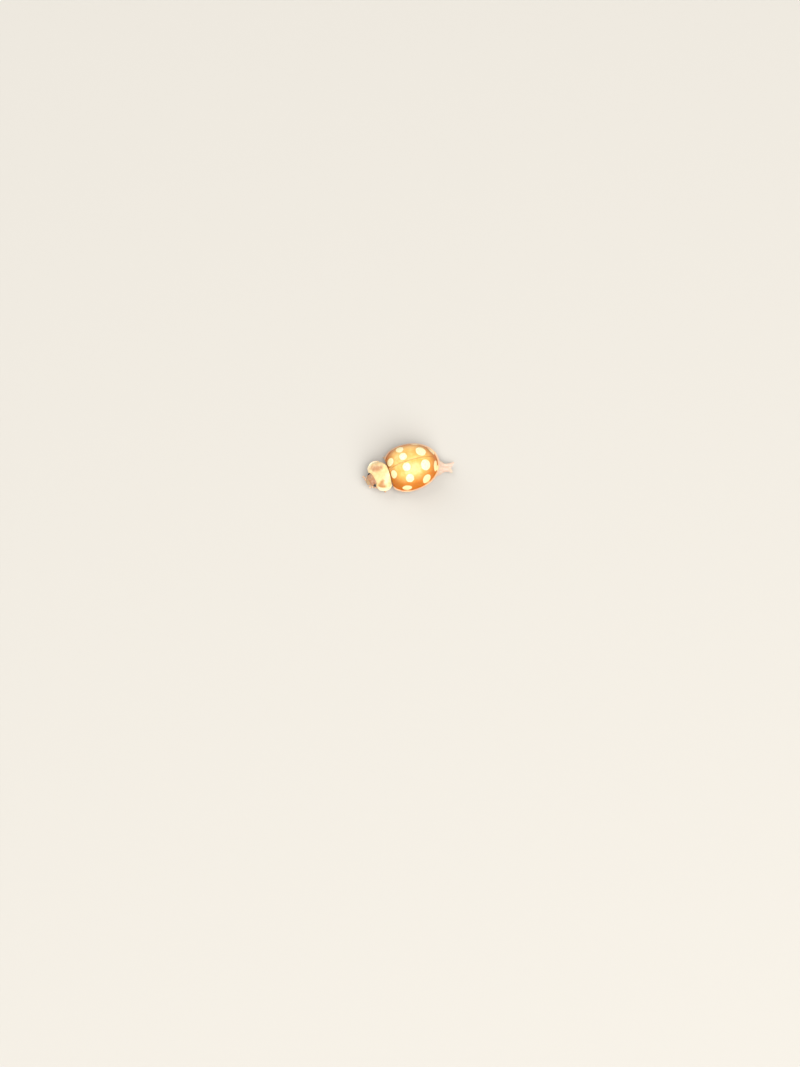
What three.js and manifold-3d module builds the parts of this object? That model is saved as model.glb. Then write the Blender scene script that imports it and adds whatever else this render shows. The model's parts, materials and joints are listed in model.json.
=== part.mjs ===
// A ladybird at rest, life size: a domed orange beetle with its legs drawn in under it.
// Millimetres, +Z up, head towards -Y, its left side towards +X, feet on the plane z = 0.
// Until the last line y = 0 is the front edge of the wing cases, and x = 0 is the seam between them.
import * as THREE from "three";
import { mergeVertices } from "three/addons/utils/BufferGeometryUtils.js";
import Module from "manifold-3d";

const wasm = await Module();
wasm.setup();

// ---- driving dimensions ----
const gap = 0.03; // clearance between touching pieces
const deg = Math.PI / 180;

const caseHalfWidth = 1.79; // wing cases, rim to seam
const caseWidestY = 1.44;
const caseRearReach = 2.35; // from the widest place to the tip
const caseFrontReach = 1.74; // to where the front edge would close, ahead of y = 0
const caseFrontRoundness = 2.35; // superellipse powers of the plan
const caseRearRoundness = 2.08;
const rimZ = 0.66; // top of the flat rim round the wing cases
const rimShare = 0.915; // share of the radius where the dome meets the rim
const rimThickness = 0.19;
const domeRise = 1.8; // highest point above the rim
const domePower = 2.15;
const caseWall = 0.46;
const bellyZ = 0.46; // lowest place of the underside

const neckTurn = 11.5 * deg; // head and shield are turned to the animal's left
const neckPivot = new THREE.Vector3(0.03, -0.6, 0);

const orange = 0xd9741c;
const cream = 0xf3dfa6;
const amber = 0xcf8a4a;

// ---- small helpers ----
const clamp = (t, low, high) => Math.min(Math.max(t, low), high);
const smooth = (t) => {
  const s = clamp(t, 0, 1);
  return s * s * (3 - 2 * s);
};
const softMax = (a, b, width) => {
  const h = Math.max(width - Math.abs(a - b), 0) / width;
  return Math.max(a, b) + (h * h * width) / 4;
};
const v3 = (x, y, z) => new THREE.Vector3(x, y, z);

function solidOf(geometry) {
  const bare = geometry.index ? geometry.toNonIndexed() : geometry.clone();
  const points = new THREE.BufferGeometry();
  points.setAttribute("position", bare.getAttribute("position"));
  const merged = mergeVertices(points, 1e-4);
  return new wasm.Manifold(
    new wasm.Mesh({
      numProp: 3,
      vertProperties: merged.attributes.position.array,
      triVerts: new Uint32Array(merged.index.array),
    }),
  );
}

function geometryOf(solid) {
  const mesh = solid.getMesh();
  const geometry = new THREE.BufferGeometry();
  geometry.setAttribute("position", new THREE.BufferAttribute(mesh.vertProperties, 3));
  geometry.setIndex(new THREE.BufferAttribute(mesh.triVerts, 1));
  geometry.computeVertexNormals();
  return geometry;
}

// A box between two corners.
function block(low, high) {
  const size = high.clone().sub(low);
  const middle = high.clone().add(low).multiplyScalar(0.5);
  const box = new THREE.BoxGeometry(size.x, size.y, size.z);
  return solidOf(box.translate(middle.x, middle.y, middle.z));
}

// A closed body between an upper and a lower surface over rings round a centre.
// at(share, angle) gives {x, y, top, bottom}, and share runs from 0 in the middle to 1 at the edge.
function roundBody(at, shares, sectors) {
  const points = [];
  const faces = [];
  const add = (x, y, z) => points.push(x, y, z) / 3 - 1;
  const middle = at(0, 0);
  const topMiddle = add(middle.x, middle.y, middle.top);
  const bottomMiddle = add(middle.x, middle.y, middle.bottom);
  const rings = shares.map((share) => {
    const ring = { top: [], bottom: [] };
    for (let k = 0; k < sectors; k++) {
      const p = at(share, (k / sectors) * 2 * Math.PI);
      ring.top.push(add(p.x, p.y, p.top));
      ring.bottom.push(add(p.x, p.y, p.bottom));
    }
    return ring;
  });
  const band = (a, b, k) => {
    const next = (k + 1) % sectors;
    faces.push(a[k], b[k], b[next], a[k], b[next], a[next]);
  };
  for (let k = 0; k < sectors; k++) {
    const next = (k + 1) % sectors;
    faces.push(topMiddle, rings[0].top[k], rings[0].top[next]);
    faces.push(bottomMiddle, rings[0].bottom[next], rings[0].bottom[k]);
    for (let i = 1; i < rings.length; i++) {
      band(rings[i - 1].top, rings[i].top, k);
      band(rings[i].bottom, rings[i - 1].bottom, k);
    }
    band(rings.at(-1).top, rings.at(-1).bottom, k);
  }
  const geometry = new THREE.BufferGeometry();
  geometry.setAttribute("position", new THREE.Float32BufferAttribute(points, 3));
  geometry.setIndex(faces);
  return solidOf(geometry);
}

// A closed plate over a grid. at(u, v) gives {x, y, top, bottom}, with u from -1 to 1 and v from 0 to 1.
function plate(at, columns, rows) {
  const points = [];
  const faces = [];
  const index = (i, j, under) => ((j * (columns + 1) + i) * 2) + (under ? 1 : 0);
  for (let j = 0; j <= rows; j++) {
    for (let i = 0; i <= columns; i++) {
      const p = at((2 * i) / columns - 1, j / rows);
      points.push(p.x, p.y, p.top, p.x, p.y, p.bottom);
    }
  }
  const quad = (a, b, c, d) => faces.push(a, b, c, a, c, d);
  for (let j = 0; j < rows; j++) {
    for (let i = 0; i < columns; i++) {
      quad(index(i, j), index(i + 1, j), index(i + 1, j + 1), index(i, j + 1));
      quad(index(i, j, 1), index(i, j + 1, 1), index(i + 1, j + 1, 1), index(i + 1, j, 1));
    }
    quad(index(0, j), index(0, j + 1), index(0, j + 1, 1), index(0, j, 1));
    quad(index(columns, j), index(columns, j, 1), index(columns, j + 1, 1), index(columns, j + 1));
  }
  for (let i = 0; i < columns; i++) {
    quad(index(i, 0), index(i, 0, 1), index(i + 1, 0, 1), index(i + 1, 0));
    quad(index(i, rows), index(i + 1, rows), index(i + 1, rows, 1), index(i, rows, 1));
  }
  const geometry = new THREE.BufferGeometry();
  geometry.setAttribute("position", new THREE.Float32BufferAttribute(points, 3));
  geometry.setIndex(faces);
  return solidOf(geometry);
}

// A round limb between two points: radii are its radius at each end and at the middle.
function limb(start, end, radii, grow = 0, sides = 10) {
  const length = start.distanceTo(end);
  const [first, middle, last] = radii.map((r) => r + grow);
  const profile = [new THREE.Vector2(0, -first)];
  for (const turn of [-50, -15]) {
    profile.push(new THREE.Vector2(first * Math.cos(turn * deg), first * Math.sin(turn * deg)));
  }
  profile.push(new THREE.Vector2(middle, length * 0.5));
  for (const turn of [15, 50]) {
    profile.push(new THREE.Vector2(last * Math.cos(turn * deg), length + last * Math.sin(turn * deg)));
  }
  profile.push(new THREE.Vector2(0, length + last));
  const geometry = new THREE.LatheGeometry(profile, sides);
  const along = end.clone().sub(start).normalize();
  geometry.applyQuaternion(new THREE.Quaternion().setFromUnitVectors(v3(0, 1, 0), along));
  return solidOf(geometry.translate(start.x, start.y, start.z));
}

function ellipsoid(centre, radii, grow = 0, columns = 20, rows = 12) {
  const ball = new THREE.SphereGeometry(1, columns, rows);
  ball.scale(radii.x + grow, radii.y + grow, radii.z + grow);
  return solidOf(ball.translate(centre.x, centre.y, centre.z));
}

// What belongs to the head and shield is made straight, then turned about the neck.
function turned(solid) {
  return solid
    .translate([-neckPivot.x, -neckPivot.y, 0])
    .rotate([0, 0, neckTurn / deg])
    .translate([neckPivot.x, neckPivot.y, 0]);
}

// ---- wing cases ----
function casePlan(share, angle, half, front, rear) {
  const c = Math.cos(angle);
  const s = Math.sin(angle);
  const power = 2 / (s < 0 ? caseFrontRoundness : caseRearRoundness);
  return {
    x: share * half * Math.sign(c) * Math.abs(c) ** power,
    y: caseWidestY + share * (s < 0 ? front : rear) * Math.sign(s) * Math.abs(s) ** power,
  };
}

// The dome falls to a flat rim, which turns up a little at its edge.
function caseTop(share) {
  const inside = clamp(share / rimShare, 0, 1);
  const dome = rimZ - 0.05 + (domeRise + 0.05) * Math.sqrt(1 - inside ** domePower);
  const rim = rimZ - 0.04 + (0.04 * (share - rimShare)) / (1 - rimShare);
  return softMax(dome, rim, 0.1);
}

const caseSectors = 44;
const caseShares = [0.22, 0.42, 0.6, 0.74, 0.84, 0.9, 0.94, 1];
const dome = roundBody(
  (share, angle) => ({
    ...casePlan(share, angle, caseHalfWidth, caseFrontReach, caseRearReach),
    top: caseTop(share),
    bottom: rimZ - rimThickness + (1 - share),
  }),
  caseShares,
  caseSectors,
);

// The body fills the wing cases; grow leaves the clearance round it.
const bodyHalfWidth = caseHalfWidth - caseWall;
const bodyFrontReach = caseFrontReach - 0.22;
function bodyCore(grow) {
  const drop = caseWall - grow;
  return roundBody(
    (share, angle) => ({
      ...casePlan(share, angle, bodyHalfWidth + grow, bodyFrontReach, caseRearReach - caseWall + grow),
      top: rimZ - 0.02 + (domeRise - drop) * Math.sqrt(1 - share ** domePower),
      bottom: bellyZ - grow + 0.1 * share ** 3,
    }),
    [0.4, 0.7, 0.88, 1],
    24,
  );
}

// ---- shield behind the head ----
const shieldSideX = (v) => 0.8 + 0.13 * v + 0.33 * Math.sin(Math.PI * v) ** 0.8;
const shieldFrontY = (u) => {
  const lobe = smooth((Math.abs(u) - 0.4) / 0.4);
  return -1.17 - 0.14 * lobe + 0.03 * smooth((Math.abs(u) - 0.8) / 0.2);
};
const shieldRearY = (u) => -0.16 + 0.2 * (1 - u * u);

function shieldTop(u, v) {
  const middle = 1.12 + 0.36 * Math.sin((v * Math.PI) / 2);
  const edge = 0.74 + 0.08 * v;
  return edge + (middle - edge) * Math.max(1 - Math.abs(u) ** 2.5, 0) ** 0.75;
}

// depth is how far under the top the lower surface lies in the middle; it thins to the edge.
function shieldPlate(depth, grow) {
  return plate(
    (u, v) => {
      const wide = 1 + grow;
      const top = shieldTop(u, v);
      const thin = 1 - 0.45 * Math.abs(u) ** 4;
      const y = (1 - v) * (shieldFrontY(u) - grow) + v * (shieldRearY(u) + grow);
      return { x: u * shieldSideX(v) * wide, y, top: top + grow, bottom: top - depth * thin - grow };
    },
    20,
    8,
  );
}

// ---- legs: hip, knee, ankle and toe of each, and the flat sole at z = 0 ----
const thighRadii = [0.2, 0.23, 0.215];
const shinRadii = [0.205, 0.215, 0.205];
const footRadii = [0.2, 0.205, 0.2];
const kneeZ = 0.235;
const legPlans = {
  front_left: {
    hip: [0.32, -0.56, 0.4], knee: [1.04, -0.9], ankle: [0.74, -0.36], toe: [0.4, -0.08], neck: 1,
  },
  front_right: {
    hip: [-0.32, -0.56, 0.4], knee: [-0.9, -0.9], ankle: [-0.74, -0.36], toe: [-0.42, -0.08], neck: 1,
  },
  middle_left: { hip: [0.42, 0.5, 0.4], knee: [1.32, 0.54], ankle: [0.86, 0.98], toe: [0.44, 1.05] },
  middle_right: { hip: [-0.42, 0.5, 0.4], knee: [-1.42, 0.04], ankle: [-1.04, 0.72], toe: [-0.62, 0.98] },
  hind_left: { hip: [0.42, 1.55, 0.4], knee: [1.3, 1.98], ankle: [0.74, 2.52], toe: [0.38, 2.86] },
  hind_right: { hip: [-0.42, 1.55, 0.4], knee: [-1.3, 1.92], ankle: [-0.78, 2.48], toe: [-0.44, 2.84] },
};

const underFloor = block(v3(-5, -5, -2), v3(5, 8, 0));
const jointZ = { knee: kneeZ, ankle: 0.215, toe: 0.175 };
const toPoint = (plan, place) => {
  const [x, y, z] = plan[place];
  const point = v3(x, y, z ?? jointZ[place]);
  if (plan.neck) {
    point.sub(neckPivot);
    point.applyAxisAngle(v3(0, 0, 1), neckTurn);
    point.add(neckPivot);
  }
  return point;
};

function legParts(plan, grow) {
  const [hip, knee, ankle, toe] = ["hip", "knee", "ankle", "toe"].map((place) => toPoint(plan, place));
  return {
    thigh: limb(hip, knee, thighRadii, grow),
    shin: limb(knee, ankle, shinRadii, grow),
    foot: limb(ankle, toe, footRadii, grow),
  };
}

const nodes = {}; // name -> {solid, colour, roughness}
const grownLegs = [];
for (const [name, plan] of Object.entries(legPlans)) {
  const slim = legParts(plan, 0);
  const fat = legParts(plan, gap);
  const whole = {
    thigh: slim.thigh,
    shin: slim.shin.subtract(fat.thigh),
    foot: slim.foot.subtract(fat.shin).subtract(fat.thigh),
  };
  for (const [part, solid] of Object.entries(whole)) {
    nodes[`${part}_${name}`] = { solid: solid.subtract(underFloor), colour: amber, roughness: 0.45 };
  }
  grownLegs.push(fat.thigh, fat.shin, fat.foot);
}
const legRoom = wasm.Manifold.union(grownLegs);

// ---- body under the wing cases ----
const bodyCut = 1.38; // between the chest and the belly
const ahead = block(v3(-3, -3, -1), v3(3, 0, 4));
const core = bodyCore(0).subtract(ahead).subtract(legRoom);
const rearOf = (y) => block(v3(-3, y, -1), v3(3, 6, 4));
nodes.thorax = { solid: core.subtract(rearOf(bodyCut - gap / 2)), colour: amber, roughness: 0.5 };
nodes.abdomen = { solid: core.intersect(rearOf(bodyCut + gap / 2)), colour: amber, roughness: 0.5 };

// ---- wing cases and the small triangular plate between them ----
function triangle(grow) {
  const shape = new THREE.Shape();
  shape.moveTo(-0.17 - grow, -0.1);
  shape.lineTo(0.17 + grow, -0.1);
  shape.lineTo(0.17 + grow, 0.02);
  shape.lineTo(0, 0.28 + grow * 2);
  shape.lineTo(-0.17 - grow, 0.02);
  return solidOf(new THREE.ExtrudeGeometry(shape, { depth: 3, bevelEnabled: false }));
}
const shell = dome.subtract(bodyCore(gap)).subtract(ahead).subtract(legRoom);
nodes.scutellum = { solid: shell.intersect(triangle(0)), colour: orange, roughness: 0.35 };
const cases = shell.subtract(triangle(gap));
const sideOf = (sign) =>
  sign > 0 ? block(v3(gap / 2, -3, -1), v3(4, 6, 4)) : block(v3(-4, -3, -1), v3(-gap / 2, 6, 4));
nodes.wing_case_left = { solid: cases.intersect(sideOf(1)), colour: orange, roughness: 0.3 };
nodes.wing_case_right = { solid: cases.intersect(sideOf(-1)), colour: orange, roughness: 0.3 };

// ---- shield, the body under it and the head ----
const behindNeck = block(v3(-3, -gap, -1), v3(3, 6, 4));
const shieldDepth = 0.34;
const shield = shieldPlate(shieldDepth, 0);
const grownShield = shieldPlate(shieldDepth, gap);
nodes.pronotum = { solid: turned(shield).subtract(behindNeck), colour: cream, roughness: 0.35 };

const collarShares = [0.35, 0.7, 0.9, 1];
const collar = roundBody(
  (share, angle) => ({
    x: 0.86 * share * Math.cos(angle),
    y: -0.5 + (Math.sin(angle) < 0 ? 0.46 : 0.62) * share * Math.sin(angle),
    top: 1.5,
    bottom: bellyZ + 0.02 + 0.12 * share ** 3,
  }),
  collarShares,
  20,
);
// Everything above the shield's lower surface is taken away from what lies under it.
const overShield = plate(
  (u, v) => {
    const lower = shieldTop(u, v) - shieldDepth * (1 - 0.45 * Math.abs(u) ** 4) - gap;
    const y = (1 - v) * (shieldFrontY(u) - 0.02) + v * (shieldRearY(u) + 0.3);
    return { x: u * (shieldSideX(v) + 0.02), y, top: 3, bottom: lower };
  },
  20,
  8,
);
nodes.prothorax = {
  solid: turned(collar.subtract(overShield)).subtract(behindNeck).subtract(legRoom),
  colour: amber,
  roughness: 0.5,
};

const headCentre = v3(0, -1.22, 0.8);
const headRadii = v3(0.51, 0.56, 0.27);
const headTilt = 16 * deg;
const eyeCentre = v3(0.42, -1.3, 0.79);
const eyeRadii = v3(0.15, 0.2, 0.19);
const headBall = (grow) => {
  const ball = new THREE.SphereGeometry(1, 20, 12);
  ball.scale(headRadii.x + grow, headRadii.y + grow, headRadii.z + grow);
  ball.rotateX(headTilt);
  return solidOf(ball.translate(headCentre.x, headCentre.y, headCentre.z));
};
const mirrored = (centre, side) => v3(centre.x * side, centre.y, centre.z);
const grownEyes = [1, -1].map((side) => ellipsoid(mirrored(eyeCentre, side), eyeRadii, gap, 16, 10));
const behindHead = block(v3(-2, -1.0, -1), v3(2, 2, 4));
const grownCollar = collar.add(block(v3(-0.4, -0.97, 0.3), v3(0.4, -0.9, 1.2)));
const head = headBall(0)
  .subtract(overShield)
  .subtract(behindHead)
  .subtract(grownCollar)
  .subtract(wasm.Manifold.union(grownEyes));
nodes.head = { solid: turned(head).subtract(legRoom), colour: cream, roughness: 0.4 };
for (const [side, name] of [[1, "left"], [-1, "right"]]) {
  const eye = ellipsoid(mirrored(eyeCentre, side), eyeRadii, 0, 16, 10).subtract(overShield);
  nodes[`eye_${name}`] = { solid: turned(eye), colour: 0x2a1a12, roughness: 0.25 };
}

// ---- feelers and mouth ----
// The left feeler is folded back towards the shield, the right one reaches out ahead.
const feelerPaths = {
  left: [v3(0.36, -1.5, 0.66), v3(0.46, -1.52, 0.42), v3(0.58, -1.36, 0.28), v3(0.73, -1.19, 0.25)],
  right: [v3(-0.36, -1.5, 0.66), v3(-0.5, -1.6, 0.54), v3(-0.62, -1.67, 0.38), v3(-0.72, -1.69, 0.25)],
};
const feelerRadii = [0.14, 0.17, 0.19, 0.21];
const palpPath = (side) => [v3(0.2 * side, -1.45, 0.5), v3(0.31 * side, -1.68, 0.4)];
const palpRadii = [0.15, 0.18];
const chain = (points, radii, grow) => {
  const links = points.slice(1).map((end, i) => {
    const pair = [radii[i], (radii[i] + radii[i + 1]) / 2, radii[i + 1]];
    return limb(points[i], end, pair, grow, 8);
  });
  return wasm.Manifold.union(links);
};
const lipLow = v3(-0.2, -1.8, 0.52);
const lipHigh = v3(0.2, -1.56, 0.68);
const lip = block(lipLow, lipHigh);
const grownHead = headBall(gap);
const eyesRoom = wasm.Manifold.union(grownEyes);
const palps = [];
for (const [side, name] of [[1, "left"], [-1, "right"]]) {
  const palp = chain(palpPath(side), palpRadii, 0).subtract(grownHead).subtract(underFloor);
  palps.push(chain(palpPath(side), palpRadii, gap));
  nodes[`palp_${name}`] = { solid: turned(palp).subtract(legRoom), colour: amber, roughness: 0.5 };
}
const palpRoom = wasm.Manifold.union(palps);
const mouth = lip.subtract(grownHead).subtract(palpRoom);
nodes.mouth = { solid: turned(mouth), colour: amber, roughness: 0.4 };
const mouthRoom = block(lipLow.clone().subScalar(gap), lipHigh.clone().addScalar(gap));
for (const name of ["left", "right"]) {
  const feeler = chain(feelerPaths[name], feelerRadii, 0)
    .subtract(grownHead)
    .subtract(eyesRoom)
    .subtract(palpRoom)
    .subtract(mouthRoom)
    .subtract(overShield);
  nodes[`feeler_${name}`] = { solid: turned(feeler).subtract(legRoom), colour: amber, roughness: 0.5 };
}

// ---- folded flying wings, whose tips show behind the wing cases ----
const wingOutline = {
  left: [
    [0.1, 3.15], [0.14, 3.7], [0.4, 4.1], [0.5, 4.74],
    [0.82, 4.62], [1.14, 4.46], [1.02, 4.0], [1.0, 3.15],
  ],
  right: [[-0.1, 3.15], [-0.06, 3.88], [-0.36, 3.96], [-0.66, 3.84], [-0.72, 3.15]],
};
const wingFloor = 0.04;
const wingThickness = 0.46;
const grownDome = roundBody(
  (share, angle) => ({
    ...casePlan(share, angle, caseHalfWidth + gap, caseFrontReach + gap, caseRearReach + gap),
    top: caseTop(share) + gap,
    bottom: rimZ - rimThickness + (1 - share) - gap,
  }),
  caseShares,
  caseSectors,
);
for (const [name, outline] of Object.entries(wingOutline)) {
  const shape = new THREE.Shape(outline.map(([x, y]) => new THREE.Vector2(x, y)));
  const slab = new THREE.ExtrudeGeometry(shape, { depth: wingThickness, bevelEnabled: false });
  const wing = solidOf(slab.translate(0, 0, wingFloor)).subtract(grownDome).subtract(bodyCore(gap));
  nodes[`flying_wing_${name}`] = { solid: wing.subtract(legRoom), colour: 0xf0d8c8, roughness: 0.3 };
}

// ---- the group, moved so that the middle of the foot of its box is the origin ----
const ladybird = new THREE.Group();
for (const [name, node] of Object.entries(nodes)) {
  const { colour, roughness } = node;
  const material = new THREE.MeshStandardMaterial({ color: colour, roughness, metalness: 0 });
  const mesh = new THREE.Mesh(geometryOf(node.solid), material);
  mesh.name = name;
  ladybird.add(mesh);
}
const box = new THREE.Box3().setFromObject(ladybird);
const middle = box.getCenter(v3(0, 0, 0));
for (const mesh of ladybird.children) {
  mesh.geometry.translate(-middle.x, -middle.y, 0);
}

export default ladybird;
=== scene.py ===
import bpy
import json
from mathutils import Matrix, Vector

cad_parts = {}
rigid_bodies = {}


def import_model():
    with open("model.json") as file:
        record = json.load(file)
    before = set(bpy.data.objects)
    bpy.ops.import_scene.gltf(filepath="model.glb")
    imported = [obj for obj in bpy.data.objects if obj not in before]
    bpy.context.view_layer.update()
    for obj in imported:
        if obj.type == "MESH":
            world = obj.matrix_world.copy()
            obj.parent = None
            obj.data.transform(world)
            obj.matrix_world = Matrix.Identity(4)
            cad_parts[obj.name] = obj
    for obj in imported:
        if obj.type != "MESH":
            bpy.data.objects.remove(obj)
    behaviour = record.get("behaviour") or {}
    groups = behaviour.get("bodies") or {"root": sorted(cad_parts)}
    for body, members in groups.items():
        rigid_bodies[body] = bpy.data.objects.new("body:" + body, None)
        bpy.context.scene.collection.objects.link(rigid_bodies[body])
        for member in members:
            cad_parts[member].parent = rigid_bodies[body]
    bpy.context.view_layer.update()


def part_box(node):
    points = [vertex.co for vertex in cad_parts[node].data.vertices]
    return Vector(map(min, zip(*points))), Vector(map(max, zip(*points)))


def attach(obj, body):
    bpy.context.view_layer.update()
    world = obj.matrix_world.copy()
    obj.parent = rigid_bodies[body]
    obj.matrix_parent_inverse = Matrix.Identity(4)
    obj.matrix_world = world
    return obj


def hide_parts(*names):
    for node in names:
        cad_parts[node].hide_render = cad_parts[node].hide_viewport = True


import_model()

import json
import math

import bpy
from mathutils import Matrix, Vector

# A cream-spotted ladybird at rest. It is modelled in millimetres round the front end of the seam
# between its wing cases: head towards -Y, its left side towards +X, feet on z = 0. Each finished
# piece is then put into the part's frame, which is in metres.
mm = 0.001
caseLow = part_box("wing_case_left")[0]
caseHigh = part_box("wing_case_right")[1]
seamPoint = Vector(((caseLow[0] + caseHigh[0]) / 2, caseLow[1], 0))
toFrame = Matrix.Translation(seamPoint) @ Matrix.Scale(mm, 4)
up = Vector((0, 0, 1))
hair = 0.0003  # tells corners on a plane from those beside it

# the head and the shield are made straight, then turned to the animal's left about the neck
neck = {"turn": math.radians(11.5), "pivot": Vector((0.03, -0.6, 0))}
neckTurn = (Matrix.Translation(neck["pivot"]) @ Matrix.Rotation(neck["turn"], 4, "Z")
            @ Matrix.Translation(-neck["pivot"]))


def clamp(value):
    return max(0.0, min(1.0, value))


def ease(value):
    t = clamp(value)
    return t * t * (3 - 2 * t)


def mix(a, b, share):
    return a + (b - a) * share


def hill(value, centre, halfWidth):
    return math.exp(-((value - centre) / halfWidth) ** 2)


# The higher of two levels, with the corner between them rounded over this width.
def softMax(a, b, width):
    h = max(width - abs(a - b), 0) / width
    return max(a, b) + h * h * width / 4


def selectOnly(piece):
    if bpy.context.mode != "OBJECT":
        bpy.ops.object.mode_set(mode="OBJECT")
    bpy.ops.object.select_all(action="DESELECT")
    piece.select_set(True)
    bpy.context.view_layer.objects.active = piece


# Takes over what the operator before has just added, with its place and size put into its mesh.
def startPiece(name):
    piece = bpy.context.object
    piece.name = piece.data.name = name
    selectOnly(piece)
    bpy.ops.object.transform_apply(location=True, rotation=True, scale=True)
    return piece


def addBall(name, segments, rings, lengthwise=False, place=(0, 0, 0), radii=(1, 1, 1)):
    bpy.ops.object.select_all(action="DESELECT")
    bpy.ops.mesh.primitive_uv_sphere_add(segments=segments, ring_count=rings, radius=1,
                                         rotation=(math.pi / 2 if lengthwise else 0, 0, 0))
    ball = startPiece(name)
    pick(ball)
    bpy.ops.transform.resize(value=radii, center_override=(0, 0, 0))
    bpy.ops.transform.translate(value=place)
    selectOnly(ball)
    return ball


# Edit mode, with only those corners selected whose place passes the test.
def pick(piece, test=lambda p: True):
    selectOnly(piece)
    bpy.ops.object.mode_set(mode="EDIT")
    bpy.ops.mesh.select_mode(type="VERT")
    bpy.ops.mesh.select_all(action="DESELECT")
    bpy.ops.object.mode_set(mode="OBJECT")
    for vertex in piece.data.vertices:
        vertex.select = test(vertex.co)
    bpy.ops.object.mode_set(mode="EDIT")


# Pulls the skin round one place, less and less out to the reach.
def pull(piece, place, move, reach):
    place = Vector(place)
    nearest = min((vertex.co - place).length for vertex in piece.data.vertices)
    pick(piece, lambda p: (p - place).length < nearest + 1e-5)
    bpy.ops.transform.translate(value=move, use_proportional_edit=True,
                                proportional_edit_falloff="SMOOTH", proportional_size=reach)
    selectOnly(piece)


# Cuts a groove across a piece along a plane: width in mm, then how its floor is scaled about a middle.
def groove(piece, place, normal, width, squeeze, middle, test=lambda p: True):
    pick(piece, test)
    bpy.ops.mesh.bisect(plane_co=place, plane_no=normal)
    bpy.ops.mesh.bevel(offset=width / 2, segments=2, affect="EDGES")
    bpy.ops.mesh.select_less()
    bpy.ops.transform.resize(value=squeeze, center_override=middle)
    selectOnly(piece)


# The same pull on the right and then on the left.
def pullBothSides(piece, place, move, reach):
    for side in (-1, 1):
        pull(piece, (place[0] * side, place[1], place[2]), move, reach)


def modify(piece, kind, **settings):
    selectOnly(piece)
    modifier = piece.modifiers.new(kind.lower(), kind)
    for key, value in settings.items():
        setattr(modifier, key, value)
    bpy.ops.object.modifier_apply(modifier=modifier.name)


# Welds what meets, and turns the skin of an open shell so that its top faces up.
def tidyShell(piece):
    weld = 0.0004
    pick(piece)
    bpy.ops.mesh.remove_doubles(threshold=weld)
    bpy.ops.mesh.dissolve_degenerate(threshold=weld / 5)
    bpy.ops.mesh.normals_make_consistent(inside=False)
    selectOnly(piece)
    if max(piece.data.polygons, key=lambda face: face.center.z).normal.z < 0:
        piece.data.flip_normals()


# A straight limb of length 1 up +Z, drawn out of a disc ring by ring; stations are (height, radius).
def limbPiece(name, stations, sides=16, flat=1.0):
    bpy.ops.object.select_all(action="DESELECT")
    bpy.ops.mesh.primitive_circle_add(vertices=sides, radius=stations[0][1], fill_type="NGON",
                                      location=(0, 0, stations[0][0]))
    limb = startPiece(name)
    pick(limb)
    for (below, wide), (height, radius) in zip(stations, stations[1:]):
        bpy.ops.mesh.extrude_region_move(TRANSFORM_OT_translate={"value": (0, 0, height - below)})
        bpy.ops.transform.resize(value=(radius / wide, radius / wide, 1), center_override=(0, 0, height))
    bpy.ops.mesh.select_all(action="SELECT")
    bpy.ops.transform.resize(value=(1, flat, 1), center_override=(0, 0, 0))
    bpy.ops.mesh.normals_make_consistent(inside=False)
    modify(limb, "SUBSURF", levels=1, render_levels=1)
    return limb


# A copy of a master piece with its +Z run from start to end and its +X turned towards a side.
def placedCopy(master, name, start, end, side=up, width=1.0):
    piece = master.copy()
    piece.data = master.data.copy()
    piece.name = piece.data.name = name
    bpy.context.collection.objects.link(piece)
    along = (end - start).normalized()
    across = (side - along * side.dot(along)).normalized()
    turn = Matrix((across, along.cross(across), along)).transposed().to_4x4()
    size = Matrix.Diagonal((width, width, (end - start).length, 1))
    piece.data.transform(Matrix.Translation(start) @ turn @ size)
    return piece


def joinPieces(pieces, name):
    selectOnly(pieces[0])
    for piece in pieces:
        piece.select_set(True)
    bpy.ops.object.join()
    return startPiece(name)


def discard(*pieces):
    for piece in pieces:
        bpy.data.objects.remove(piece, do_unlink=True)


# A smooth curve through a few points, as a list of closer ones.
def smoothPath(points, steps=12):
    ends = [points[0] * 2 - points[1], *points, points[-1] * 2 - points[-2]]
    route = []
    for a, b, c, d in zip(ends, ends[1:], ends[2:], ends[3:]):
        for i in range(steps):
            t = i / steps
            route.append(0.5 * ((2 * b) + (c - a) * t + (2 * a - 5 * b + 4 * c - d) * t ** 2
                                + (3 * b - a - 3 * c + d) * t ** 3))
    return [*route, points[-1]]


def pointAlong(route, share):
    lengths = [(b - a).length for a, b in zip(route, route[1:])]
    left = share * sum(lengths)
    for a, b, length in zip(route, route[1:], lengths):
        if left <= length:
            return a.lerp(b, left / length)
        left -= length
    return route[-1].copy()


# Writes a number on each corner, for a material to read.
def paint(piece, name, valueAt):
    layer = piece.data.attributes.new(name, "FLOAT", "POINT")
    for vertex in piece.data.vertices:
        layer.data[vertex.index].value = valueAt(vertex.co)


# Puts a finished piece into the part's frame, and hides the solids it stands for. Edges between
# faces that turn by more than the angle, in degrees, stay sharp.
def finishPiece(piece, material, nodes, turned=False, angle=40):
    selectOnly(piece)
    if turned:
        piece.data.transform(neckTurn)
    piece.data.transform(toFrame)
    piece.data.materials.clear()
    piece.data.materials.append(material)
    bpy.ops.object.shade_smooth_by_angle(angle=math.radians(angle))
    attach(piece, "root")
    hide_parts(*nodes)


# An sRGB colour like "#ffaa00" as linear red, green, blue and alpha.
def toLinear(hexColour):
    levels = [int(hexColour[i:i + 2], 16) / 255 for i in (1, 3, 5)]
    return [v / 12.92 if v <= 0.04045 else ((v + 0.055) / 1.055) ** 2.4 for v in levels] + [1.0]


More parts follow.
